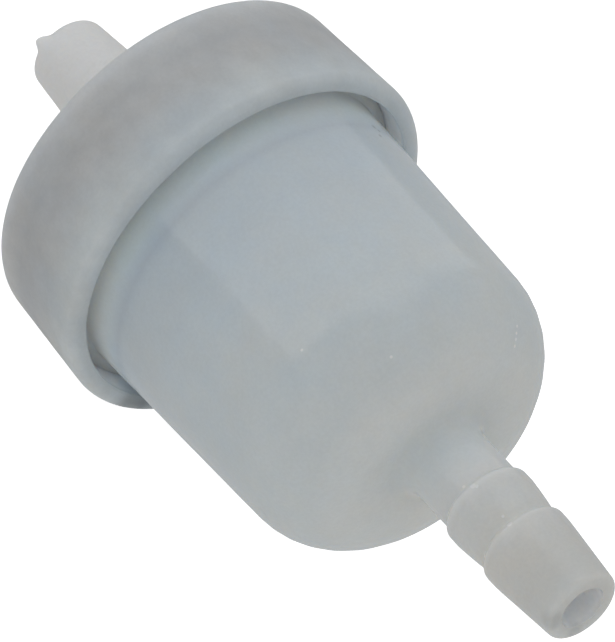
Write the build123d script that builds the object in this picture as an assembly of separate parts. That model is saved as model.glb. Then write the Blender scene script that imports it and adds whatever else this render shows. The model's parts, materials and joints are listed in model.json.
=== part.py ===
"""In-line fuel filter for a small engine.

A cap and a bowl of milky nylon are welded to each other round a screen element, and each ends in a
spigot with two barbs for the fuel hose. The axis lies along +X, the way the fuel flows, with the
inlet at -X. The origin is the middle of the filter's length, on the axis. All sizes are in
millimetres.
"""

import os

from build123d import *

# Length along the axis
OVERALL_LENGTH = 72.0
INLET_SPIGOT_LENGTH = 14.3
CAP_HEIGHT = 12.1
BOWL_BELOW_LIP = 26.3

INLET_TIP = -OVERALL_LENGTH / 2
CAP_CROWN = INLET_TIP + INLET_SPIGOT_LENGTH
CAP_LIP = CAP_CROWN + CAP_HEIGHT
BOWL_END = CAP_LIP + BOWL_BELOW_LIP
OUTLET_TIP = OVERALL_LENGTH / 2

# Spigots, for 1/4 in fuel hose. Distances are from the spigot's tip.
BARB_RADIUS = 4.0
NECK_RADIUS = 3.6
TIP_RADIUS = 3.4
FUEL_BORE_RADIUS = 2.1
BARB_LAND = 1.0
BARB_STEP = 0.5
OUTER_BARB_AT = 6.6
INNER_BARB_AT = 11.4
BARB_ROUND = 0.2
SPIGOT_ROOT_ROUND = 0.8
INLET_TIP_ROUND = 1.1
OUTLET_TIP_ROUND = 0.6

# Cap
CAP_CROWN_RADIUS = 16.8
CAP_LIP_RADIUS = 17.6
CAP_EDGE_ROUND = 1.75
LIP_OUTER_ROUND = 0.9
LIP_INNER_ROUND = 0.3
SKIRT_BORE_RADIUS = 15.9
CROWN_WALL = 1.6
CLAMP_RIB_OUTER_RADIUS = 14.0
CLAMP_RIB_INNER_RADIUS = 12.8

# Bowl
BOWL_RADIUS_AT_RIM = 14.85
BOWL_RADIUS_AT_END = 13.9
BOWL_SHOULDER_ROUND = 7.2
BOWL_WALL = 1.6
RIM_RADIUS = 15.8
RIM_BORE_RADIUS = 14.3
RIM_RECESS = 2.6
RIM_ROOT_ROUND = 0.8
LEDGE_DEPTH = 1.6

# Filter element
COLLAR_THICKNESS = 1.5
COLLAR_RADIUS = 14.1
SOCKET_BORE_RADIUS = 8.2
SLEEVE_RADIUS = 9.0
CLOTH_THICKNESS = 0.25
CAGE_RADIUS = 10.75
SOCKET_LENGTH = 2.5
END_SOCKET_LENGTH = 2.0
ELEMENT_LENGTH = 23.0
HOOP_WIDTH = 1.2
RIB_WIDTH = 1.6
RIB_COUNT = 6
END_RING_THICKNESS = 1.5
END_WINDOW_RADIUS = 7.4

CROWN_INSIDE = CAP_CROWN + CROWN_WALL
RIM_UNDERSIDE = CAP_LIP - RIM_RECESS
LEDGE = RIM_UNDERSIDE - LEDGE_DEPTH
COLLAR_TOP = LEDGE - COLLAR_THICKNESS
BOWL_FLOOR = BOWL_END - BOWL_WALL
CAGE_END = LEDGE + ELEMENT_LENGTH
CAGE_BORE_RADIUS = SLEEVE_RADIUS + CLOTH_THICKNESS


def turned(outline):
    """Solid turned about the X axis from corners (x, radius, rounding)."""
    corners = [(x, radius) for x, radius, rounding in outline]
    roundings = [rounding for x, radius, rounding in outline]
    with BuildPart() as body:
        with BuildSketch(Plane.XY):
            with BuildLine():
                FilletPolyline(*corners, radius=roundings, close=True)
            make_face()
        revolve(axis=Axis.X)
    return body.part


def ring(start, end, inner_radius, outer_radius):
    """Plain ring about the X axis."""
    return turned(
        [
            (start, inner_radius, 0),
            (start, outer_radius, 0),
            (end, outer_radius, 0),
            (end, inner_radius, 0),
        ]
    )


def spigot_outline(tip, towards_root, tip_round):
    """Outside of a hose spigot, from its tip to the neck behind its two barbs."""
    outline = [(tip, TIP_RADIUS, tip_round)]
    for barb_at in (OUTER_BARB_AT, INNER_BARB_AT):
        land_end = barb_at + BARB_LAND
        outline.append((tip + towards_root * barb_at, BARB_RADIUS, BARB_ROUND))
        outline.append((tip + towards_root * land_end, BARB_RADIUS, BARB_ROUND))
        outline.append((tip + towards_root * (land_end + BARB_STEP), NECK_RADIUS, BARB_ROUND))
    return outline


def inlet_cap():
    """Cap moulding: inlet spigot, crown, skirt and the rib that clamps the element."""
    outside = spigot_outline(INLET_TIP, 1, INLET_TIP_ROUND) + [
        (CAP_CROWN, NECK_RADIUS, SPIGOT_ROOT_ROUND),
        (CAP_CROWN, CAP_CROWN_RADIUS, CAP_EDGE_ROUND),
        (CAP_LIP, CAP_LIP_RADIUS, LIP_OUTER_ROUND),
    ]
    inside = [
        (CAP_LIP, SKIRT_BORE_RADIUS, LIP_INNER_ROUND),
        (CROWN_INSIDE, SKIRT_BORE_RADIUS, 0),
        (CROWN_INSIDE, CLAMP_RIB_OUTER_RADIUS, 0),
        (COLLAR_TOP, CLAMP_RIB_OUTER_RADIUS, 0),
        (COLLAR_TOP, CLAMP_RIB_INNER_RADIUS, 0),
        (CROWN_INSIDE, CLAMP_RIB_INNER_RADIUS, 0),
        (CROWN_INSIDE, FUEL_BORE_RADIUS, 0),
        (INLET_TIP, FUEL_BORE_RADIUS, 0),
    ]
    return turned(outside + inside)


def outlet_bowl():
    """Bowl moulding: rim inside the cap, ledge for the element, cup and outlet spigot."""
    rim = [
        (CROWN_INSIDE, RIM_BORE_RADIUS, 0),
        (CROWN_INSIDE, RIM_RADIUS, 0),
        (RIM_UNDERSIDE, RIM_RADIUS, 0),
        (RIM_UNDERSIDE, BOWL_RADIUS_AT_RIM, RIM_ROOT_ROUND),
    ]
    cup = [
        (BOWL_END, BOWL_RADIUS_AT_END, BOWL_SHOULDER_ROUND),
        (BOWL_END, NECK_RADIUS, SPIGOT_ROOT_ROUND),
    ]
    spigot = list(reversed(spigot_outline(OUTLET_TIP, -1, OUTLET_TIP_ROUND)))
    inside = [
        (OUTLET_TIP, FUEL_BORE_RADIUS, 0),
        (BOWL_FLOOR, FUEL_BORE_RADIUS, 0),
        (BOWL_FLOOR, BOWL_RADIUS_AT_END - BOWL_WALL, BOWL_SHOULDER_ROUND - BOWL_WALL),
        (LEDGE, BOWL_RADIUS_AT_RIM - BOWL_WALL, 0),
        (LEDGE, RIM_BORE_RADIUS, 0),
    ]
    return turned(rim + cup + spigot + inside)


def element_collar():
    """Ring that the cap clamps on the bowl's ledge, with a socket for the cloth sleeve."""
    socket_end = LEDGE + SOCKET_LENGTH
    return turned(
        [
            (COLLAR_TOP, SOCKET_BORE_RADIUS, 0),
            (COLLAR_TOP, COLLAR_RADIUS, 0),
            (LEDGE, COLLAR_RADIUS, 0),
            (LEDGE, SLEEVE_RADIUS, 0),
            (socket_end, SLEEVE_RADIUS, 0),
            (socket_end, SOCKET_BORE_RADIUS, 0),
        ]
    )


def element_cage():
    """Cage outside the sleeve: a hoop at each end, two between them, and ribs along it."""
    cage = ring(LEDGE, LEDGE + SOCKET_LENGTH, CAGE_BORE_RADIUS, CAGE_RADIUS)
    cage += ring(CAGE_END - END_SOCKET_LENGTH, CAGE_END, CAGE_BORE_RADIUS, CAGE_RADIUS)
    for share in (1 / 3, 2 / 3):
        middle = LEDGE + share * ELEMENT_LENGTH
        cage += ring(middle - HOOP_WIDTH / 2, middle + HOOP_WIDTH / 2, CAGE_BORE_RADIUS, CAGE_RADIUS)
    tube = ring(LEDGE, CAGE_END, CAGE_BORE_RADIUS, CAGE_RADIUS)
    rib_middle = (LEDGE + CAGE_END) / 2
    for turn in range(RIB_COUNT):
        slab = Box(ELEMENT_LENGTH, RIB_WIDTH, CAGE_RADIUS, align=(Align.CENTER, Align.CENTER, Align.MIN))
        slab = Rot(turn * 360 / RIB_COUNT, 0, 0) * slab
        cage += tube & (Pos(rib_middle, 0, 0) * slab)
    return cage


def screen_sleeve():
    """Tube of woven cloth between the collar's socket and the end ring's socket."""
    return ring(LEDGE, CAGE_END, SLEEVE_RADIUS, CAGE_BORE_RADIUS)


def element_end_ring():
    """Ring with a cross that closes the far end of the cage and holds the end screen."""
    end = CAGE_END + END_RING_THICKNESS
    plate = ring(CAGE_END, end, END_WINDOW_RADIUS, CAGE_RADIUS)
    plate += ring(CAGE_END - END_SOCKET_LENGTH, CAGE_END, SOCKET_BORE_RADIUS, SLEEVE_RADIUS)
    span = END_WINDOW_RADIUS + SOCKET_BORE_RADIUS
    for turn in (0, 90):
        bar = Rot(turn, 0, 0) * Box(END_RING_THICKNESS, RIB_WIDTH, span)
        plate += Pos(CAGE_END + END_RING_THICKNESS / 2, 0, 0) * bar
    return plate


def end_screen():
    """Disc of woven cloth lying on the end ring, inside its socket."""
    disc = Cylinder(SOCKET_BORE_RADIUS, CLOTH_THICKNESS, rotation=(0, 90, 0))
    return Pos(CAGE_END - CLOTH_THICKNESS / 2, 0, 0) * disc


PIECES = (
    inlet_cap,
    outlet_bowl,
    element_collar,
    element_cage,
    screen_sleeve,
    element_end_ring,
    end_screen,
)

os.makedirs("parts", exist_ok=True)
for piece in PIECES:
    export_step(piece(), f"parts/{piece.__name__}.step")
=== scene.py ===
"""Looks of an in-line fuel filter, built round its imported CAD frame.

The frame is in metres, with the filter's axis along +X and the outlet at +X. Outlines are written
in millimetres, as (x, radius, rounding) corners, and turned about the axis.
"""

import json
import math

import bpy
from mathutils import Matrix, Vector, noise


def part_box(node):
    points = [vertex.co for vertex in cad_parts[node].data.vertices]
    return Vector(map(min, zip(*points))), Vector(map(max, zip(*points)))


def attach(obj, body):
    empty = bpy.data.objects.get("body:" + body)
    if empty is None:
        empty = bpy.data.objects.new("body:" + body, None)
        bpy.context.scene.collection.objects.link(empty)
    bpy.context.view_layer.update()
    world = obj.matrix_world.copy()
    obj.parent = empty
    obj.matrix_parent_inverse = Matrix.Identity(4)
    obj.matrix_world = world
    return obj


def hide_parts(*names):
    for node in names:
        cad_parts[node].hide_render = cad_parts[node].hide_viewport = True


MM = 0.001

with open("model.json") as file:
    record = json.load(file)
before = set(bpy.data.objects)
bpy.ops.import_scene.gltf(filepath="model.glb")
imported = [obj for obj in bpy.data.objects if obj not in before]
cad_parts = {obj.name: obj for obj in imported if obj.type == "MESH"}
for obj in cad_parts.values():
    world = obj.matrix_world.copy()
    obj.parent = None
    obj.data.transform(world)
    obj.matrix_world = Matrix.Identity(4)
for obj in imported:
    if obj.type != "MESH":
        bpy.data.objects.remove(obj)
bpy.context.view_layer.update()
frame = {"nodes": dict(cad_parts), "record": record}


def low_high(node, axis):
    """Lowest and highest place of a CAD node along an axis, in millimetres."""
    low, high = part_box(node)
    return low[axis] / MM, high[axis] / MM


# Planes and radii that the frame gives, in millimetres
INLET_TIP, LIP = low_high("inlet_cap", 0)
CROWN_INSIDE, OUTLET_TIP = low_high("outlet_bowl", 0)
RIM_RADIUS = low_high("outlet_bowl", 1)[1]
COLLAR_TOP = low_high("element_collar", 0)[0]
COLLAR_RADIUS = low_high("element_collar", 1)[1]
LEDGE, CAGE_END = low_high("screen_sleeve", 0)
CAGE_BORE_RADIUS = low_high("screen_sleeve", 1)[1]
SCREEN_START, SCREEN_END = low_high("end_screen", 0)
SCREEN_RADIUS = low_high("end_screen", 1)[1]
MOUNTS = {mount["name"]: mount for mount in frame["record"]["mounts"]}
PASSAGE_RADIUS = MOUNTS["outlet_passage"]["dims"]["r_mm"]
BARB_RADIUS = MOUNTS["outlet_barb"]["dims"]["r_mm"]
BOWL_FLOOR = OUTLET_TIP - MOUNTS["outlet_passage"]["dims"]["length_mm"]

# Past this radius a point of a spigot is on its outside, in millimetres
SPIGOT_SKIN = PASSAGE_RADIUS + 0.5

# Mouldings, in millimetres, as in the CAD model
WALL = 1.6
CROWN = CROWN_INSIDE - WALL
BOWL_END = BOWL_FLOOR + WALL
RIM_UNDERSIDE = LEDGE + WALL
TIP_RADIUS = 3.4
NECK_RADIUS = 3.6
BARB_LANDS = ((6.6, 7.6), (11.4, 12.4))
BARB_STEP = 0.5
CREST_ROUND = 0.25
STEP_ROUND = 0.4
INLET_ROOT_ROUND = 0.8
OUTLET_ROOT_ROUND = 1.6
INLET_TIP_ROUND = 1.1
OUTLET_TIP_ROUND = 0.45
CROWN_RADIUS = 16.8
LIP_RADIUS = 17.6
CROWN_ROUND = 1.75
LIP_ROUND = 0.9
LIP_INNER_ROUND = 0.3
SKIRT_BORE_RADIUS = 15.9
CLAMP_RIB_RADII = (12.8, 14.0)
BOWL_RADIUS_AT_RIM = 14.85
BOWL_RADIUS_AT_END = 13.9
SHOULDER_ROUND = 7.2
RIM_BORE_RADIUS = 14.3
RIM_ROOT_ROUND = 0.8
SOCKET_BORE_RADIUS = 8.2
SLEEVE_RADIUS = 9.0
SOCKET_LENGTH = 2.5

# Woven cloth, in millimetres
THREAD_RADIUS = 0.06
THREAD_PITCH = 0.47
THREAD_SIDES = 4

# Mesh fineness, with steps in millimetres
OUTSIDE_STEP = 0.4
INSIDE_STEP = 1.5
ARC_STEP = math.radians(9)
SHARP_ANGLE = math.radians(50)
TURN_STEPS = 192

WHITE = (1, 1, 1, 1)
BLACK = (0, 0, 0, 1)

# ---------------------------------------------------------------- outlines


def rounded_corner(before, corner, after, radius):
    """Points of the arc that rounds a corner between two straight runs."""
    to_before = (before - corner).normalized()
    to_after = (after - corner).normalized()
    half = math.acos(max(-1.0, min(1.0, to_before.dot(to_after)))) / 2
    start = corner + to_before * (radius / math.tan(half))
    centre = corner + (to_before + to_after).normalized() * (radius / math.sin(half))
    spoke = start - centre
    across = Vector((-spoke.y, spoke.x))
    turn = math.pi - 2 * half
    if to_before.cross(to_after) > 0:
        turn = -turn
    steps = max(2, math.ceil(abs(turn) / ARC_STEP))
    angles = [turn * i / steps for i in range(steps + 1)]
    return [centre + spoke * math.cos(angle) + across * math.sin(angle) for angle in angles]


def outline_points(corners, step):
    """Outline through (x, radius, rounding) corners, with no run longer than step."""
    places = [Vector((x, radius)) for x, radius, rounding in corners]
    path = [places[0]]
    for i in range(1, len(corners) - 1):
        rounding = corners[i][2]
        if rounding > 0:
            path += rounded_corner(places[i - 1], places[i], places[i + 1], rounding)
        else:
            path.append(places[i])
    path.append(places[-1])
    points = [path[0]]
    for start, end in zip(path, path[1:]):
        runs = max(1, math.ceil((end - start).length / step))
        points += [start.lerp(end, i / runs) for i in range(1, runs + 1)]
    return points


def closed_outline(outside, inside):
    """One loop from a fine outside and a coarser inside that share their end corners."""
    return outline_points(outside, OUTSIDE_STEP) + outline_points(inside, INSIDE_STEP)[1:-1]


def spigot_corners(tip, towards_root, tip_round):
    """Outside of a hose spigot from its tip to the neck behind its barbs."""
    corners = [(tip, TIP_RADIUS, tip_round)]
    for land_start, land_end in BARB_LANDS:
        corners.append((tip + towards_root * land_start, BARB_RADIUS, CREST_ROUND))
        corners.append((tip + towards_root * land_end, BARB_RADIUS, STEP_ROUND))
        corners.append((tip + towards_root * (land_end + BARB_STEP), NECK_RADIUS, CREST_ROUND))
    return corners


def cap_outline():
    """Section of the cap: spigot, crown, lip, skirt and clamp rib."""
    outside = [
        (INLET_TIP, PASSAGE_RADIUS, 0),
        *spigot_corners(INLET_TIP, 1, INLET_TIP_ROUND),
        (CROWN, NECK_RADIUS, INLET_ROOT_ROUND),
        (CROWN, CROWN_RADIUS, CROWN_ROUND),
        (LIP, LIP_RADIUS, LIP_ROUND),
        (LIP, SKIRT_BORE_RADIUS, LIP_INNER_ROUND),
        (CROWN_INSIDE, SKIRT_BORE_RADIUS, 0),
    ]
    inside = [
        (CROWN_INSIDE, SKIRT_BORE_RADIUS, 0),
        (CROWN_INSIDE, CLAMP_RIB_RADII[1], 0),
        (COLLAR_TOP, CLAMP_RIB_RADII[1], 0),
        (COLLAR_TOP, CLAMP_RIB_RADII[0], 0),
        (CROWN_INSIDE, CLAMP_RIB_RADII[0], 0),
        (CROWN_INSIDE, PASSAGE_RADIUS, 0),
        (INLET_TIP, PASSAGE_RADIUS, 0),
    ]
    return closed_outline(outside, inside)


def bowl_outline():
    """Section of the bowl: rim, cup, spigot and inside."""
    outside = [
        (CROWN_INSIDE, RIM_RADIUS, 0),
        (RIM_UNDERSIDE, RIM_RADIUS, 0),
        (RIM_UNDERSIDE, BOWL_RADIUS_AT_RIM, RIM_ROOT_ROUND),
        (BOWL_END, BOWL_RADIUS_AT_END, SHOULDER_ROUND),
        (BOWL_END, NECK_RADIUS, OUTLET_ROOT_ROUND),
        *reversed(spigot_corners(OUTLET_TIP, -1, OUTLET_TIP_ROUND)),
        (OUTLET_TIP, PASSAGE_RADIUS, 0),
    ]
    inside = [
        (OUTLET_TIP, PASSAGE_RADIUS, 0),
        (BOWL_FLOOR, PASSAGE_RADIUS, 0),
        (BOWL_FLOOR, BOWL_RADIUS_AT_END - WALL, SHOULDER_ROUND - WALL),
        (LEDGE, BOWL_RADIUS_AT_RIM - WALL, 0),
        (LEDGE, RIM_BORE_RADIUS, 0),
        (CROWN_INSIDE, RIM_BORE_RADIUS, 0),
        (CROWN_INSIDE, RIM_RADIUS, 0),
    ]
    return closed_outline(outside, inside)


def collar_outline():
    """Section of the collar, which starts and ends halfway along its top face."""
    edge = 0.25
    socket_end = LEDGE + SOCKET_LENGTH
    halfway = (SOCKET_BORE_RADIUS + COLLAR_RADIUS) / 2
    corners = [
        (COLLAR_TOP, halfway, 0),
        (COLLAR_TOP, COLLAR_RADIUS, edge),
        (LEDGE, COLLAR_RADIUS, edge),
        (LEDGE, SLEEVE_RADIUS, 0),
        (socket_end, SLEEVE_RADIUS, edge),
        (socket_end, SOCKET_BORE_RADIUS, edge),
        (COLLAR_TOP, SOCKET_BORE_RADIUS, edge),
        (COLLAR_TOP, halfway, 0),
    ]
    return outline_points(corners, INSIDE_STEP)[:-1]


# ---------------------------------------------------------------- meshes


def new_object(name, data):
    """New object that shows this mesh, lamp or camera."""
    thing = bpy.data.objects.new(name, data)
    bpy.context.scene.collection.objects.link(thing)
    return thing


def new_piece(name, vertices, faces):
    """Smooth mesh from vertices in millimetres, with sharp edges where the skin bends hard."""
    mesh = bpy.data.meshes.new(name)
    mesh.from_pydata([Vector(vertex) * MM for vertex in vertices], [], faces)
    mesh.shade_smooth()
    mesh.set_sharp_from_angle(angle=SHARP_ANGLE)
    return new_object(name, mesh)


def turned(name, outline, shape):
    """Closed mesh turned about the X axis. shape moves each (x, radius, angle) of the outline."""
    vertices, faces = [], []
    rows = len(outline)
    for turn in range(TURN_STEPS):
        angle = math.tau * turn / TURN_STEPS
        for point in outline:
            x, radius = shape(point.x, point.y, angle)
            vertices.append((x, radius * math.cos(angle), radius * math.sin(angle)))
    for turn in range(TURN_STEPS):
        here, there = turn * rows, (turn + 1) % TURN_STEPS * rows
        for row in range(rows):
            above = (row + 1) % rows
            faces.append((here + row, here + above, there + above, there + row))
    return new_piece(name, vertices, faces)


def moulded(x, radius, angle):
    """Slight unevenness of a moulded skin: it sinks here and there by under a tenth of a millimetre."""
    place = Vector((x, radius * math.cos(angle), radius * math.sin(angle)))
    mean_sink = 0.05
    broad_waves = 0.035 * noise.noise(place * 0.16)
    fine_waves = 0.012 * noise.noise(place * 0.7)
    return x, radius - (mean_sink + broad_waves + fine_waves)


def as_turned(x, radius, angle):
    """Leaves the outline as it is."""
    return x, radius


def make_cap():
    """Cap, with the stub that the moulding gate left on the rim of the inlet spigot."""
    gate_angle = math.radians(133.5)
    gate_rise = 0.55
    gate_width = 0.6
    gate_reach = 1.4

    def shape(x, radius, angle):
        if radius < SKIRT_BORE_RADIUS and x > CROWN:
            return x, radius
        x, radius = moulded(x, radius, angle)
        from_gate = math.remainder(angle - gate_angle, math.tau) * TIP_RADIUS
        along = x - INLET_TIP
        if radius > SPIGOT_SKIN and along < 2 * gate_reach:
            fall_off = (from_gate / gate_width) ** 2 + (along / gate_reach) ** 4
            rise = gate_rise * math.exp(-fall_off)
            radius += rise
            x = max(INLET_TIP, x - rise)
        return x, radius

    return turned("cap_moulding", cap_outline(), shape)


def make_bowl():
    """Bowl, whose barbs sit a little further from the tip than the inlet's, most on one side."""
    outer_barb, inner_barb = (OUTLET_TIP - land_end for land_start, land_end in BARB_LANDS)
    set_back = ((outer_barb, 0.2), (inner_barb, 0.35))
    far_side = math.radians(-154)
    far_side_share = 0.3
    reach = 1.8

    def shape(x, radius, angle):
        x, radius = moulded(x, radius, angle)
        if radius > SPIGOT_SKIN:
            for barb_end, shift in set_back:
                near = max(0.0, 1 - ((x - barb_end) / reach) ** 2)
                x -= shift * near * (1 + far_side_share * math.cos(angle - far_side))
        return x, radius

    return turned("bowl_moulding", bowl_outline(), shape)


def add_thread(vertices, faces, line):
    """Round thread through a line of (middle, side, up), where side and up span its section."""
    first = len(vertices)
    for middle, side, up in line:
        for corner in range(THREAD_SIDES):
            angle = math.tau * (corner + 0.5) / THREAD_SIDES
            vertices.append(middle + (side * math.cos(angle) + up * math.sin(angle)) * THREAD_RADIUS)
    rings = len(line)
    for ring in range(rings - 1):
        for corner in range(THREAD_SIDES):
            low = first + ring * THREAD_SIDES + corner
            high = first + ring * THREAD_SIDES + (corner + 1) % THREAD_SIDES
            faces.append((low, high, high + THREAD_SIDES, low + THREAD_SIDES))
    faces.append([first + corner for corner in reversed(range(THREAD_SIDES))])
    faces.append([first + (rings - 1) * THREAD_SIDES + corner for corner in range(THREAD_SIDES)])


def make_sleeve():
    """Tube of plain weave: warp threads along the axis, and a weft ring at every pitch."""
    middle_radius = (SLEEVE_RADIUS + CAGE_BORE_RADIUS) / 2
    warps = 2 * round(math.pi * middle_radius / THREAD_PITCH)
    wefts = math.floor((CAGE_END - LEDGE) / THREAD_PITCH)
    along = Vector((1, 0, 0))
    vertices, faces = [], []

    def outwards(angle):
        """Direction away from the axis."""
        return Vector((0, math.cos(angle), math.sin(angle)))

    def weave(warp, weft):
        """How far a warp thread stands out from the middle of the cloth at a weft thread."""
        return THREAD_RADIUS * math.cos(math.pi * warp) * math.cos(math.pi * weft)

    for warp in range(warps):
        out = outwards(math.tau * warp / warps)
        line = []
        for half_step in range(2 * wefts + 1):
            weft = half_step / 2
            x = LEDGE + THREAD_RADIUS + weft * THREAD_PITCH
            middle = along * x + out * (middle_radius + weave(warp, weft))
            line.append((middle, along.cross(out), out))
        add_thread(vertices, faces, line)
    for weft in range(wefts + 1):
        x = LEDGE + THREAD_RADIUS + weft * THREAD_PITCH
        line = []
        for half_step in range(2 * warps + 1):
            warp = half_step / 2
            out = outwards(math.tau * warp / warps)
            middle = along * x + out * (middle_radius - weave(warp, weft))
            line.append((middle, along, out))
        add_thread(vertices, faces, line)
    return new_piece("sleeve_weave", vertices, faces)


def make_end_screen():
    """Disc of the same weave, cut round."""
    middle = (SCREEN_START + SCREEN_END) / 2
    radius = SCREEN_RADIUS - THREAD_RADIUS
    along = Vector((1, 0, 0))
    reach = math.floor(radius / THREAD_PITCH)
    vertices, faces = [], []
    for side, other, phase in ((1, 2, 0), (2, 1, 1)):
        for thread in range(-reach, reach + 1):
            offset = thread * THREAD_PITCH
            half = math.sqrt(radius**2 - offset**2)
            steps = max(2, round(4 * half / THREAD_PITCH))
            line = []
            for step in range(steps + 1):
                run = half * (2 * step / steps - 1)
                wave = THREAD_RADIUS * math.cos(math.pi * (thread + run / THREAD_PITCH + phase))
                place = Vector((middle + wave, 0, 0))
                place[side] = offset
                place[other] = run
                across = Vector((0, 0, 0))
                across[side] = 1
                line.append((place, across, along))
            add_thread(vertices, faces, line)
    return new_piece("end_screen_weave", vertices, faces)


# ---------------------------------------------------------------- materials


def add_node(tree, kind, inputs=None, **settings):
    """New shader node. Each input takes a value, or the socket that feeds it."""
    node = tree.nodes.new(kind)
    for name, value in settings.items():
        setattr(node, name, value)
    for name, value in (inputs or {}).items():
        if isinstance(value, bpy.types.NodeSocket):
            tree.links.new(value, node.inputs[name])
        else:
            node.inputs[name].default_value = value
    return node


def ranged(tree, value, low, high, start=0.0, end=1.0):
    """Value between start and end, spread from low to high."""
    inputs = {"Value": value, "From Min": start, "From Max": end, "To Min": low, "To Max": high}
    return add_node(tree, "ShaderNodeMapRange", inputs).outputs["Result"]


def cloudy(tree, place, size, detail, low, high):
    """Noise with clouds of about size millimetres, from low to high."""
    noise_low, noise_high = 0.3, 0.7
    inputs = {"Vector": place, "Scale": 1 / (size * MM), "Detail": detail}
    value = add_node(tree, "ShaderNodeTexNoise", inputs).outputs["Fac"]
    return ranged(tree, value, low, high, noise_low, noise_high)


def tinted(tree, colour, factor):
    """Colour times a number or another colour."""
    inputs = {0: colour, 1: factor}
    return add_node(tree, "ShaderNodeVectorMath", inputs, operation="MULTIPLY").outputs[0]


def mixed(tree, factor, first, second):
    """Colour between the first, at factor 0, and the second, at factor 1."""
    inputs = {"Factor": factor, 6: first, 7: second}
    return add_node(tree, "ShaderNodeMix", inputs, data_type="RGBA").outputs[2]


def product(tree, one, other):
    """One number times another."""
    return add_node(tree, "ShaderNodeMath", {0: one, 1: other}, operation="MULTIPLY").outputs[0]


def flat_light(red, green, blue):
    """Base colour of plastic that looks like this 0 to 255 tone in the studio's light."""
    light = 0.55
    offset, power = 0.055, 2.4  # sRGB's curve
    linear = []
    for part in (red, green, blue):
        part /= 255
        linear.append(((part + offset) / (1 + offset)) ** power / light)
    return (*linear, 1)


def along_axis(tree, place, tones):
    """Colour that changes along the filter's axis, through (x in mm, tone) stops."""
    x = add_node(tree, "ShaderNodeSeparateXYZ", {0: place}).outputs["X"]
    first, last = tones[0][0], tones[-1][0]
    share = ranged(tree, x, 0, 1, first * MM, last * MM)
    ramp = add_node(tree, "ShaderNodeValToRGB", {"Fac": share})
    stops = ramp.color_ramp.elements
    while len(stops) < len(tones):
        stops.new(0.5)
    for stop, (at, tone) in zip(stops, tones):
        stop.position = (at - first) / (last - first)
        stop.color = flat_light(*tone)
    return ramp.outputs["Color"]


def new_surface(name):
    """New material, its node tree, the place on the object and its surface node."""
    material = bpy.data.materials.new(name)
    material.use_nodes = True
    tree = material.node_tree
    place = add_node(tree, "ShaderNodeTexCoord").outputs["Object"]
    return material, tree, place, tree.nodes["Principled BSDF"]


def hollow(tree, place, start, end, radius):
    """1 on the skin of a hollow of this radius from x = start to end, and 0 outside it."""
    parts = add_node(tree, "ShaderNodeSeparateXYZ", {0: place}).outputs
    across = add_node(tree, "ShaderNodeCombineXYZ", {"Y": parts["Y"], "Z": parts["Z"]}).outputs[0]
    length = add_node(tree, "ShaderNodeVectorMath", {0: across}, operation="LENGTH").outputs["Value"]
    skin, start_fade, end_fade = 0.12, 0.1, 0.5
    within = ranged(tree, length, 1, 0, radius * MM, (radius + skin) * MM)
    after = ranged(tree, parts["X"], 0, 1, (start - start_fade) * MM, start * MM)
    before = ranged(tree, parts["X"], 1, 0, (end - end_fade) * MM, end * MM)
    return product(tree, within, product(tree, after, before))


def spotted(tree, colour, place, spots):
    """Colour with round marks of (x, radius, angle in degrees, size in mm, strength)."""
    full_share = 0.4
    for x, radius, degrees, size, strength in spots:
        angle = math.radians(degrees)
        middle = Vector((x, radius * math.cos(angle), radius * math.sin(angle))) * MM
        away = add_node(tree, "ShaderNodeVectorMath", {0: place, 1: middle}, operation="DISTANCE")
        distance = away.outputs["Value"]
        mark = ranged(tree, distance, strength, 1, full_share * size * MM, size * MM)
        colour = tinted(tree, colour, mark)
    return colour


def add_grain(tree, place, surface, size, detail, depth):
    """Bumps of about size millimetres on the surface, depth millimetres deep."""
    height = cloudy(tree, place, size, detail, 0, 1)
    bump = add_node(tree, "ShaderNodeBump", {"Height": height, "Distance": depth * MM})
    tree.links.new(bump.outputs["Normal"], surface.inputs["Normal"])


def plastic(name, tones, mottle, gloss_stops, grain, depth, hollow_reach, hollow_painted_light, spots):
    """Milky moulded plastic: tones along the axis, partly painted light and shade, a hollow painted
    lighter, mottled colour, uneven gloss, and light that goes depth mm in.
    """
    material, tree, place, surface = new_surface(name)
    # Painted light: the skin of the hollow takes a paler colour that stands in for light reaching it
    # through the walls
    in_hollow = hollow(tree, place, *hollow_reach)
    colour = mixed(tree, in_hollow, along_axis(tree, place, tones), hollow_painted_light)
    small_mottle, specks = 0.6 * mottle, 0.02
    for size, detail, strength in ((9, 2, mottle), (1.8, 4, small_mottle), (0.3, 2, specks)):
        clouds = cloudy(tree, place, size, detail, 1 - strength, 1 + strength)
        colour = tinted(tree, colour, clouds)
    warm, cool = (1.02, 1.0, 0.975, 1), (0.98, 1.0, 1.025, 1)
    colour = tinted(tree, colour, mixed(tree, cloudy(tree, place, 6, 3, 0, 1), warm, cool))
    colour = spotted(tree, colour, place, spots)
    tree.links.new(colour, surface.inputs["Base Color"])

    x = add_node(tree, "ShaderNodeSeparateXYZ", {0: place}).outputs["X"]
    (start, start_roughness), (end, end_roughness) = gloss_stops
    roughness = ranged(tree, x, start_roughness, end_roughness, start * MM, end * MM)
    unevenness = cloudy(tree, place, 3, 4, 0.9, 1.2)
    tree.links.new(product(tree, roughness, unevenness), surface.inputs["Roughness"])
    add_grain(tree, place, surface, 0.5, 3, grain)

    surface.inputs["Subsurface Weight"].default_value = 1.0
    surface.inputs["Subsurface Radius"].default_value = (0.9, 1.0, 1.15)
    surface.inputs["Subsurface Scale"].default_value = depth * MM
    surface.inputs["IOR"].default_value = 1.5
    return material


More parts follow.
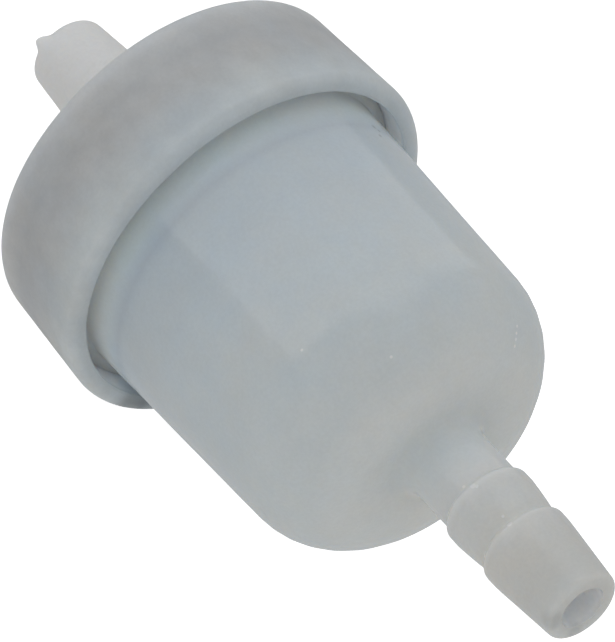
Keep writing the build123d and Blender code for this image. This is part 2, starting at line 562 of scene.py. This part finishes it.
def cap_plastic():
    """Frosted nylon of the cap. Its tones are (x in mm, colour) and follow the light along it."""
    tones = (
        (INLET_TIP, (190, 191, 192)),
        (CROWN - 1.5, (188, 191, 194)),
        (CROWN, (168, 171, 173)),
        (-20.0, (164, 166, 168)),
        (-17.5, (152, 154, 156)),
        (-15.5, (153, 155, 157)),
        (-12.5, (158, 162, 164)),
        (-10.6, (161, 165, 166)),
        (LIP, (158, 162, 163)),
    )
    # Painted shade: two darker patches on the lip's low side, beside the bowl, where shade falls
    lip_middle, darkened = 16.9, 0.66
    painted_shade_spots = ((LIP, lip_middle, 226, 3.0, darkened), (LIP, lip_middle, 236, 5.0, darkened))
    return plastic(
        "frosted_cap_nylon",
        tones,
        mottle=0.065,
        gloss_stops=((INLET_TIP, 0.5), (LIP, 0.5)),
        grain=0.012,
        depth=3.0,
        # Painted light: the skirt's inner wall is paler, standing in for light through the skirt
        hollow_reach=(CROWN_INSIDE, LIP - 0.2, SKIRT_BORE_RADIUS),
        hollow_painted_light=(0.94, 0.97, 0.99, 1),
        spots=painted_shade_spots,
    )


def bowl_plastic():
    """Smooth nylon of the bowl, painted lighter where shade falls by the lip, at the spigot's root, on
    the barbs' steps and in the bore, with painted glints, pale specks, crumbs and darker patches on the
    tip.
    """
    faint_line = LIP + 2.5
    outer_step, inner_step = (OUTLET_TIP - land_end - BARB_STEP / 2 for _, land_end in BARB_LANDS)
    # Bluish by the lip; painted light makes the bowl lighter there, at the spigot's root and on the
    # barbs' steps, where shade falls
    tones = (
        (RIM_UNDERSIDE, (186, 193, 199)),
        (LIP - 0.6, (184, 192, 198)),
        (LIP + 0.6, (175, 184, 191)),
        (faint_line - 0.7, (162, 171, 178)),
        (faint_line, (156, 164, 171)),
        (faint_line + 0.7, (161, 169, 175)),
        (0.0, (168, 175, 180)),
        (9.0, (172, 178, 181)),
        (15.0, (174, 179, 181)),
        (BOWL_END - 0.3, (179, 183, 184)),
        (BOWL_END + 0.6, (180, 184, 185)),
        (19.0, (177, 181, 182)),
        (inner_step - 0.8, (180, 182, 182)),
        (inner_step - 0.2, (186, 188, 187)),
        (inner_step + 0.5, (176, 177, 176)),
        (outer_step - 0.8, (176, 177, 175)),
        (outer_step - 0.2, (183, 184, 182)),
        (outer_step + 0.5, (174, 174, 172)),
        (OUTLET_TIP, (169, 169, 166)),
    )
    # Lift for the painted glints and for the pale specks
    painted_glint_and_speck = 1.4
    spots = (
        # Painted highlights: glints on the crests and necks of the barbs
        (23.35, 3.85, 113, 0.28, painted_glint_and_speck),
        (23.6, 3.95, 110, 0.18, painted_glint_and_speck),
        (22.6, 3.6, 122, 0.17, painted_glint_and_speck),
        (27.05, 3.65, 111, 0.16, painted_glint_and_speck),
        (28.1, 3.85, 112, 0.28, painted_glint_and_speck),
        # Pale specks on the wall
        (9.4, 14.1, 125.6, 0.15, painted_glint_and_speck),
        (14.3, 12.2, 104.5, 0.16, painted_glint_and_speck),
        # Painted highlight: a dotted row of glints on the shoulder
        (14.8, 11.8, 39.9, 0.16, painted_glint_and_speck),
        (15.15, 11.35, 39.8, 0.17, painted_glint_and_speck),
        (15.45, 10.95, 39.6, 0.17, painted_glint_and_speck),
        (15.75, 10.5, 39.2, 0.17, painted_glint_and_speck),
        # Darker patches on the outlet's tip
        (OUTLET_TIP, 2.9, 172, 1.3, 0.84),
        (OUTLET_TIP, 2.6, 253, 1.0, 0.86),
        # Crumbs near the groove
        (-7.3, 14.65, 42, 0.3, 0.75),
        (-6.9, 14.65, 40.5, 0.2, 0.65),
        (-6.1, 14.6, 43.2, 0.22, 0.7),
    )
    return plastic(
        "milky_bowl_nylon",
        tones,
        mottle=0.02,
        gloss_stops=((14.0, 0.13), (19.0, 0.2)),
        grain=0.001,
        depth=2.2,
        # Painted light: the bore's skin is paler against the shade inside it
        hollow_reach=(BOWL_FLOOR, OUTLET_TIP, PASSAGE_RADIUS),
        hollow_painted_light=(0.90, 0.90, 0.89, 1),
        spots=spots,
    )


def white_nylon():
    """Opaque white nylon of the element's frame, with faint flow marks."""
    material, tree, place, surface = new_surface("white_element_nylon")
    pale, dull = (0.70, 0.71, 0.69, 1), (0.60, 0.62, 0.61, 1)
    colour = mixed(tree, cloudy(tree, place, 2.5, 5, 0, 1), pale, dull)
    tree.links.new(colour, surface.inputs["Base Color"])
    tree.links.new(cloudy(tree, place, 1.2, 3, 0.4, 0.6), surface.inputs["Roughness"])
    add_grain(tree, place, surface, 0.4, 3, 0.01)
    return material


def nylon_thread():
    """Pale monofilament of the cloth, glossier and a little yellowed."""
    material, tree, place, surface = new_surface("nylon_thread")
    pale, yellowed = (0.74, 0.73, 0.66, 1), (0.62, 0.61, 0.55, 1)
    colour = mixed(tree, cloudy(tree, place, 3, 4, 0, 1), pale, yellowed)
    tree.links.new(colour, surface.inputs["Base Color"])
    tree.links.new(cloudy(tree, place, 1, 2, 0.25, 0.4), surface.inputs["Roughness"])
    add_grain(tree, place, surface, 0.1, 2, 0.003)
    return material


# ---------------------------------------------------------------- stage, in metres


AZIMUTH, ELEVATION = math.radians(54.46), math.radians(50.48)
TO_CAMERA = Vector(
    (
        math.sin(AZIMUTH) * math.cos(ELEVATION),
        -math.cos(AZIMUTH) * math.cos(ELEVATION),
        math.sin(ELEVATION),
    )
)


def make_camera():
    """Camera with no roll, that looks from above the outlet's end at a point near the origin."""
    distance = 0.75
    aim_left = 0.00076
    right = Vector((math.cos(AZIMUTH), math.sin(AZIMUTH), 0))
    data = bpy.data.cameras.new("camera")
    data.lens = 521
    data.sensor_width = 36
    camera = new_object("camera", data)
    camera.rotation_mode = "QUATERNION"
    camera.rotation_quaternion = (-TO_CAMERA).to_track_quat("-Z", "Y")
    camera.location = TO_CAMERA * distance - right * aim_left
    bpy.context.scene.camera = camera


def light_direction(along, turn):
    """Direction with this share along the axis, turned about the axis from the camera's side."""
    camera_side = Vector((0, TO_CAMERA.y, TO_CAMERA.z)).normalized()
    right_side = Vector((0, camera_side.z, -camera_side.y))
    angle = math.radians(turn)
    across = camera_side * math.cos(angle) + right_side * math.sin(angle)
    return Vector((along, 0, 0)) + across * math.sqrt(1 - along**2)


def make_lamp(name, direction, distance, size, radiance):
    """Square lamp that faces the filter and isn't itself seen."""
    data = bpy.data.lights.new(name, "AREA")
    data.size = size
    data.energy = radiance * math.pi * size**2
    lamp = new_object(name, data)
    lamp.location = direction * distance
    lamp.rotation_mode = "QUATERNION"
    lamp.rotation_quaternion = direction.to_track_quat("Z", "Y")
    lamp.visible_camera = False


def new_sheet(name, corners, faces, material):
    """Flat faces through corners in metres, for the stage."""
    mesh = bpy.data.meshes.new(name)
    mesh.from_pydata(corners, [], faces)
    mesh.materials.append(material)
    return new_object(name, mesh)


def show_only_in_gloss(thing):
    """Hides a light from everything but mirror images."""
    thing.visible_camera = False
    thing.visible_diffuse = False
    thing.visible_transmission = False
    thing.visible_shadow = False


def make_softbox():
    """Wide softbox bent round the filter's axis, behind the cap, that shows only in gloss."""
    distance = 0.5
    start, end = -1.0, -0.19
    first_turn, last_turn, turn_step = -28, 116, 4
    bright, dim = 1.1, 0.7
    vertices, faces = [], []
    for turn in range(first_turn, last_turn + 1, turn_step):
        across = light_direction(0, turn) * distance
        vertices += [across + Vector((x, 0, 0)) for x in (start, end)]
    for i in range(0, len(vertices) - 2, 2):
        faces.append((i, i + 1, i + 3, i + 2))
    material, tree, place, surface = new_surface("softbox_light")
    y = add_node(tree, "ShaderNodeSeparateXYZ", {0: place}).outputs["Y"]
    strength = ranged(tree, y, bright, dim, -distance, distance)
    tree.links.new(strength, surface.inputs["Emission Strength"])
    surface.inputs["Emission Color"].default_value = WHITE
    surface.inputs["Base Color"].default_value = BLACK
    softbox = new_sheet("softbox", vertices, faces, material)
    show_only_in_gloss(softbox)


def make_glint():
    """Small bare bulb whose mirror image glints on the crests of the outlet's barbs."""
    distance, half = 0.8, 0.012
    crest_along, crest_turn = -0.12, 3.5
    crest = light_direction(crest_along, crest_turn)
    direction = 2 * crest.dot(TO_CAMERA) * crest - TO_CAMERA
    side = direction.cross(Vector((1, 0, 0))).normalized() * half
    up = direction.cross(side).normalized() * half
    middle = direction * distance
    corners = [middle - side - up, middle + side - up, middle + side + up, middle - side + up]
    material, _, _, surface = new_surface("bulb_light")
    surface.inputs["Emission Color"].default_value = WHITE
    surface.inputs["Emission Strength"].default_value = 110
    surface.inputs["Base Color"].default_value = BLACK
    bulb = new_sheet("bulb", corners, [(0, 1, 2, 3)], material)
    show_only_in_gloss(bulb)


def make_floor():
    """Pale floor that looks white and adds nothing to the filter's light."""
    half = 2.0
    gap = 0.0002
    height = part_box("inlet_cap")[0].z - gap
    sides = ((-half, -half), (half, -half), (half, half), (-half, half))
    corners = [(x, y, height) for x, y in sides]
    material, _, _, surface = new_surface("pale_floor")
    surface.inputs["Base Color"].default_value = (0.85, 0.85, 0.85, 1)
    surface.inputs["Roughness"].default_value = 0.9
    surface.inputs["Emission Color"].default_value = WHITE
    surface.inputs["Emission Strength"].default_value = 0.75
    floor = new_sheet("floor", corners, [(0, 1, 2, 3)], material)
    floor.visible_glossy = False
    floor.visible_diffuse = False


def make_world():
    """World that looks white, gives flat light and mirrors dimly, a little more behind the filter."""
    light_below, light_above = (0.68, 0.665, 0.64, 1), (0.455, 0.47, 0.485, 1)
    mirror_tint = (0.95, 0.98, 1.0, 1)
    mirror_strength, mirror_strength_behind = 0.3, 0.45
    behind_start, behind_end = 0.65, 0.95
    world = bpy.data.worlds.new("studio")
    world.use_nodes = True
    tree = world.node_tree
    path = add_node(tree, "ShaderNodeLightPath").outputs
    place = add_node(tree, "ShaderNodeTexCoord").outputs["Generated"]
    height = add_node(tree, "ShaderNodeSeparateXYZ", {0: place}).outputs["Z"]
    sky = add_node(tree, "ShaderNodeValToRGB", {"Fac": ranged(tree, height, 0, 1, -1, 1)})
    sky.color_ramp.elements[0].color = light_below
    sky.color_ramp.elements[1].color = light_above
    behind = add_node(tree, "ShaderNodeVectorMath", {0: place, 1: -TO_CAMERA}, operation="DOT_PRODUCT")
    strength = ranged(
        tree,
        behind.outputs["Value"],
        mirror_strength,
        mirror_strength_behind,
        behind_start,
        behind_end,
    )

    def background(colour, strength):
        """Background of this colour and strength."""
        inputs = {"Color": colour, "Strength": strength}
        return add_node(tree, "ShaderNodeBackground", inputs).outputs[0]

    def either(ray, other, shown):
        """Background that this kind of ray meets, or the other for the rest."""
        return add_node(tree, "ShaderNodeMixShader", {0: path[ray], 1: other, 2: shown}).outputs[0]

    dim = background(sky.outputs["Color"], 1.0)
    lit = either("Is Glossy Ray", dim, background(mirror_tint, strength))
    seen = either("Is Camera Ray", lit, background(WHITE, 1.0))
    tree.links.new(seen, tree.nodes["World Output"].inputs["Surface"])
    bpy.context.scene.world = world
    bpy.context.scene.view_settings.view_transform = "Standard"


# ---------------------------------------------------------------- the filter


def finish_piece(piece, node, material):
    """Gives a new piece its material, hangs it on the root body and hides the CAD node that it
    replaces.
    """
    piece.data.materials.append(material)
    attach(piece, "root")
    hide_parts(node)


make_camera()
make_floor()
make_world()
make_softbox()
make_glint()
make_lamp("key_light", light_direction(-0.3, 45), distance=0.8, size=0.6, radiance=0.45)

nylon = white_nylon()
thread = nylon_thread()
finish_piece(make_cap(), "inlet_cap", cap_plastic())
finish_piece(make_bowl(), "outlet_bowl", bowl_plastic())
collar = turned("collar_ring", collar_outline(), as_turned)
finish_piece(collar, "element_collar", nylon)
finish_piece(make_sleeve(), "screen_sleeve", thread)
finish_piece(make_end_screen(), "end_screen", thread)
for node in ("element_cage", "element_end_ring"):
    frame["nodes"][node].data.materials.clear()
    frame["nodes"][node].data.materials.append(nylon)
